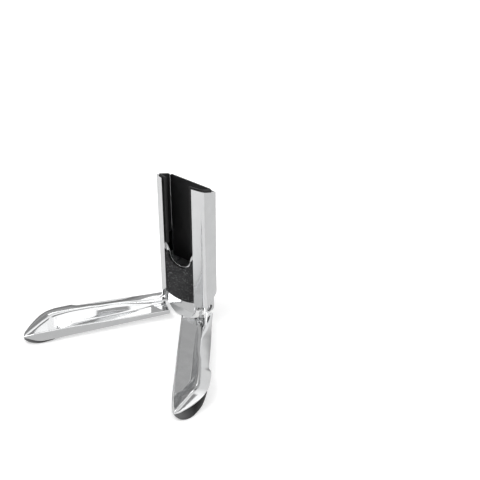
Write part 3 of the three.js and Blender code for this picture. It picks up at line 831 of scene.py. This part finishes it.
def tray_outline(share):
    """The tray's section, with its outer edge rounded."""
    line = softened(leg_corners(share), LEG_BEND, LEG_BEND_STEPS)
    top = beside(line, LEG_SHEET)
    end, far = Vector(line[-1]), Vector(top[-1])
    run = end - Vector(line[-2])
    reach = min(LEG_EDGE_REACH, run.length * BEND_SHARE)
    back = run.normalized() * reach
    up = (far - end).normalized() * reach
    turn = [end - back, end - back * LEG_EDGE_CUT + up * LEG_EDGE_CUT, end + up,
            far - up, far - back * LEG_EDGE_CUT - up * LEG_EDGE_CUT, far - back]
    return line[:-1] + [tuple(point) for point in turn] + top[-2::-1]


def flange_outline(share):
    """The inner flange's section, with a round top."""
    inner = value_at(INNER_EDGE, share) * LEG_SPAN
    low = value_at(FLANGE_FOOT, share) * LEG_RISE - FLANGE_SINK
    top = value_at(FLANGE_RISE, share) * LEG_RISE
    half = LEG_SHEET / 2
    low_turn = curve((inner, low + FLANGE_TURN), (inner, low), (inner + FLANGE_TURN, low), FLANGE_FOOT_STEPS)
    round_top = arc(inner + half, top - half, half, 0, 180, FLANGE_TOP_STEPS)
    return low_turn + [(inner + LEG_SHEET, low)] + round_top


def leg_root_plan():
    """The leg from above, with its inner end cut to clear the channel's ear."""
    far = LEG_REACH + OVERRUN
    wide = LEG_SPAN + OVERRUN

    def beside_ear(along):
        return (HALF_CHANNEL + FIT - PIN_OFFSET - along * math.sin(SPLAY)) / math.cos(SPLAY)

    return [(FLANGE_ROOT, -OVERRUN), (far, -OVERRUN), (far, wide), (RIM_START, wide),
            (RIM_START, beside_ear(RIM_START)), (RIM_ROOT, beside_ear(RIM_ROOT)), (RIM_ROOT, RIM_ROOT_ACROSS),
            (TAB_ROOT, RIM_ROOT_ACROSS), (TAB_ROOT, TAB_START)]


def both_sides(piece, name, node, finish_edges):
    """Finishes a right-hand piece and its left-hand twin."""
    twin = mirrored(piece, f"left_{name}")
    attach(twin, "left_leg_body")
    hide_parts(f"left_{node}")
    for each in (piece, twin):
        finish_edges(each)


def satin_floor(piece, material):
    """Gives the faces of a leg's floor, which look straight up, their own finish."""
    piece.data.materials.append(material)
    for face in piece.data.polygons:
        if face.normal.z > FLOOR_FACE_UP and FLOOR_FACE_LOW * MM < face.center.z < FLOOR_FACE_HIGH * MM:
            face.material_index = 1


def leg(material, floor_material):
    """Each leg's pressed sheet: the tray, and the inner flange on it."""
    body = loft("right_leg_sheet", leg_rings(tray_outline))
    combine(body, loft("flange", leg_rings(flange_outline)), "UNION")
    plan = prism("plan", leg_root_plan(), -PIN_HEIGHT - OVERRUN, LEG_RISE + OVERRUN, level)
    combine(body, plan, "INTERSECT")
    dress(body, HINGE_PLACE, material, "right_leg_body", ["right_leg"])
    satin_floor(body, floor_material)
    both_sides(body, "leg_sheet", "leg", smooth)


def leg_tab(material):
    """Each leg's eye on its pin, and the tab that holds it."""
    flat = math.degrees(math.asin(math.sqrt(1 - (TAB_NECK / TAB_RADIUS) ** 2)))
    outline = arc(0, 0, TAB_RADIUS, 180, -flat, 3 * ROUND_STEPS)
    outline += [(TAB_NECK, -TAB_TOP_DROP), (TAB_REACH, -TAB_TOP_DROP), (TAB_REACH, -TAB_ROOT_DROP),
                (-TAB_RADIUS, -TAB_ROOT_DROP)]
    tab = prism("right_leg_eye", outline, TAB_START, TAB_START + TAB_THICK, endwise)
    combine(tab, bar("hole", PIN_RADIUS + FIT, 0, LEG_SPAN))
    dress(tab, HINGE_PLACE, material, "right_leg_body", ["right_leg"])
    both_sides(tab, "leg_eye", "leg", lambda each: rounded(each, EYE_EDGE))


def foot_ring(t, edge, floor, centre):
    """A ring of the foot's skin, from its outline on the floor at 0 to the leg's edge at 1."""
    ring = []
    for low, high in zip(floor, edge):
        point = low.lerp(high, t)
        away = point - centre
        away.z = 0
        ring.append(point + away.normalized() * FOOT_BULGE * math.sin(math.pi * t))
    return ring


def foot_edge():
    """The foot's upper outline: along the leg's inner edge, round its tip and back along its rim."""
    edge = []
    for i in range(FOOT_STEPS * 2 + 1):
        back = abs(i - FOOT_STEPS) / FOOT_STEPS
        along = LEG_REACH - FOOT_LENGTH * (1 - math.cos(math.pi / 2 * back))
        share = along / LEG_REACH
        if i > FOOT_STEPS:
            across, rise = value_at(RIM, share) * LEG_SPAN, value_at(RIM_RISE, share) * LEG_RISE
        else:
            across = value_at(INNER_EDGE, share) * LEG_SPAN + FOOT_INSET
            rise = value_at(FLANGE_FOOT, share) * LEG_RISE
        edge.append(Vector((along, across, rise - sole_drop(along) - FIT)))
    return edge


def foot(material):
    """The shoe under a leg's nose, cut clear of the leg."""
    spots = [Vector((a * LEG_REACH, w * LEG_SPAN, -PIN_HEIGHT)) for a, w in FOOT_FLOOR]
    floor = spline(spots, FOOT_STEPS * 2)
    edge = foot_edge()
    centre = sum(floor, Vector()) / len(floor)
    inner = [point.lerp(centre, SOLE_INSET) for point in floor]
    turn = [point.lerp(centre, SOLE_TURN_INSET) + Vector((0, 0, SOLE_TURN_RISE)) for point in floor]
    rings = [inner, turn] + [foot_ring(t, edge, floor, centre) for t in FOOT_SKIN]
    rings.append([Vector((p.x, p.y, LEG_RISE - SOLE_DROP_ROOT)) for p in edge])
    body = loft("right_foot_shoe", rings)
    high, wide = LEG_RISE + OVERRUN, LEG_SPAN + OVERRUN * 2

    def over_tray(share):
        under = beside(softened(leg_corners(share), LEG_BEND, LEG_BEND_STEPS), -FIT)
        return [(-OVERRUN, high), (-OVERRUN, under[0][1]), *under, (wide, under[-1][1]), (wide, high)]

    def over_flange(share):
        outer = value_at(INNER_EDGE, share) * LEG_SPAN + LEG_SHEET + FIT
        low = value_at(FLANGE_FOOT, share) * LEG_RISE - FIT
        return [(-OVERRUN, low), (outer, low), (outer, high), (-OVERRUN, high)]

    combine(body, loft("tray", leg_rings(over_tray)))
    combine(body, loft("flange", leg_rings(over_flange)))
    dress(body, HINGE_PLACE, material, "right_leg_body", ["right_foot"])
    both_sides(body, "foot_shoe", "foot", smooth)


# Small parts

def small_parts(materials):
    """Gives the parts that keep their solids a finish and rounded edges."""
    for name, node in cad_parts.items():
        part = name.split("_", 1)[1] if name.startswith(("right_", "left_")) else name
        if part not in SMALL_PARTS:
            continue
        finish, width = SMALL_PARTS[part]
        node.data.materials.clear()
        node.data.materials.append(materials[finish])
        weld = node.modifiers.new("weld", "WELD")
        weld.merge_threshold = SOLID_WELD_REACH
        flats = node.modifiers.new("flats", "DECIMATE")
        flats.decimate_type = "DISSOLVE"
        flats.angle_limit = SOLID_FLAT_WITHIN
        rounded(node, width, segments=2)


# Stage, light and camera

def rectangle(name, width, depth, corners):
    """A mesh of one face round its origin. The order of its corners says which way it faces."""
    x, y = width / 2, depth / 2
    mesh = bpy.data.meshes.new(name)
    mesh.from_pydata([(-x, -y, 0), (x, -y, 0), (x, y, 0), (-x, y, 0)], [], [corners])
    return mesh


def empty_material(name):
    """A material with nothing in it but its output."""
    material = bpy.data.materials.new(name)
    material.use_nodes = True
    material.node_tree.nodes.clear()
    return material, material.node_tree, material.node_tree.nodes.new("ShaderNodeOutputMaterial")


def stage_floor():
    """A matt floor, brightened a little to the camera and to polished metal."""
    mesh = rectangle("floor", STAGE_SIZE, STAGE_SIZE, (0, 1, 2, 3))
    floor = new_object("floor", mesh)
    material, tree, out = empty_material("floor")
    matte = tree.nodes.new("ShaderNodeBsdfDiffuse")
    matte.inputs["Color"].default_value = (STAGE_WHITE, STAGE_WHITE, STAGE_WHITE, 1)
    lift = tree.nodes.new("ShaderNodeEmission")
    path = tree.nodes.new("ShaderNodeLightPath")
    glossy = calculated(tree, "MULTIPLY", path.outputs["Is Glossy Ray"], STAGE_GLOSSY_LIFT)
    lifted = calculated(tree, "MULTIPLY_ADD", path.outputs["Is Camera Ray"], STAGE_CAMERA_LIFT, glossy)
    both = tree.nodes.new("ShaderNodeAddShader")
    tree.links.new(lifted, lift.inputs["Strength"])
    tree.links.new(matte.outputs[0], both.inputs[0])
    tree.links.new(lift.outputs[0], both.inputs[1])
    tree.links.new(both.outputs[0], out.inputs["Surface"])
    mesh.materials.append(material)


def aim(thing, place, target):
    """Puts a lamp or a card in its place, with its front to the target."""
    thing.location = place
    thing.rotation_euler = (Vector(target) - Vector(place)).to_track_quat("-Z", "Y").to_euler()


def area_light(name, place, target, size, power):
    lamp = bpy.data.lights.new(name, "AREA")
    lamp.shape = "RECTANGLE"
    lamp.size, lamp.size_y = size
    lamp.energy = power
    aim(new_object(name, lamp), place, target)


def card(name, place, target, size, light):
    """A card that only polished metal sees, and only from its front."""
    mesh = rectangle(name, *size, (3, 2, 1, 0))
    sheet = new_object(name, mesh)
    aim(sheet, place, target)
    sheet.visible_camera = False
    sheet.visible_diffuse = False
    sheet.visible_shadow = False
    material, tree, out = empty_material(name)
    glow = tree.nodes.new("ShaderNodeEmission")
    glow.inputs["Strength"].default_value = light
    clear = tree.nodes.new("ShaderNodeBsdfTransparent")
    side = tree.nodes.new("ShaderNodeNewGeometry")
    both = tree.nodes.new("ShaderNodeMixShader")
    tree.links.new(side.outputs["Backfacing"], both.inputs[0])
    tree.links.new(glow.outputs[0], both.inputs[1])
    tree.links.new(clear.outputs[0], both.inputs[2])
    tree.links.new(both.outputs[0], out.inputs["Surface"])
    mesh.materials.append(material)


def world_light():
    """Even light, which polished metal sees as a sky that darkens towards the horizon."""
    world = bpy.data.worlds.new("studio")
    bpy.context.scene.world = world
    world.use_nodes = True
    tree = world.node_tree
    back = tree.nodes["Background"]
    back.inputs["Color"].default_value = (1, 1, 1, 1)
    place = tree.nodes.new("ShaderNodeTexCoord")
    axes = tree.nodes.new("ShaderNodeSeparateXYZ")
    sky = tree.nodes.new("ShaderNodeValToRGB")
    for height, _ in SKY[1:-1]:
        sky.color_ramp.elements.new(height)
    for spot, (_, light) in zip(sky.color_ramp.elements, SKY):
        spot.color = (light, light, light, 1)
    path = tree.nodes.new("ShaderNodeLightPath")
    even = calculated(tree, "MULTIPLY_ADD", path.outputs["Is Camera Ray"],
                      BACKDROP_LIGHT - SOFT_LIGHT, SOFT_LIGHT)
    pick = tree.nodes.new("ShaderNodeMix")
    pick.data_type = "FLOAT"
    tree.links.new(place.outputs["Generated"], axes.inputs[0])
    tree.links.new(axes.outputs["Z"], sky.inputs["Fac"])
    tree.links.new(even, pick.inputs["A"])
    tree.links.new(path.outputs["Is Glossy Ray"], pick.inputs["Factor"])
    tree.links.new(sky.outputs["Color"], pick.inputs["B"])
    tree.links.new(pick.outputs["Result"], back.inputs["Strength"])


def photo_camera():
    lens = bpy.data.cameras.new("camera")
    lens.lens = CAMERA_LENS
    lens.sensor_width = CAMERA_SENSOR
    lens.shift_x, lens.shift_y = CAMERA_SHIFT
    lens.clip_start = CAMERA_NEAR
    camera = new_object("camera", lens)
    turn = Matrix((CAMERA_RIGHT, CAMERA_UP, -CAMERA_FORWARD)).transposed().to_4x4()
    camera.matrix_world = Matrix.Translation(CAMERA_PLACE) @ turn
    bpy.context.scene.camera = camera


photo_camera()
steel = polished_steel()
black_rubber = rubber()
holder_shell(steel, bore_shade_steel())
front_plate(steel)
label_panel(textured_panel())
side_liner(black_rubber)
back_liner(black_rubber)
leg(steel, satin_steel())
leg_tab(steel)
foot(foot_rubber())
small_parts({"alloy": cast_alloy(), "turned": turned_steel(), "nylon": nylon()})
stage_floor()
world_light()
for name, setting in CARDS.items():
    card(name, *setting)
for name, setting in LAMPS.items():
    area_light(name, *setting)

bpy.context.scene.view_settings.view_transform = "Standard"
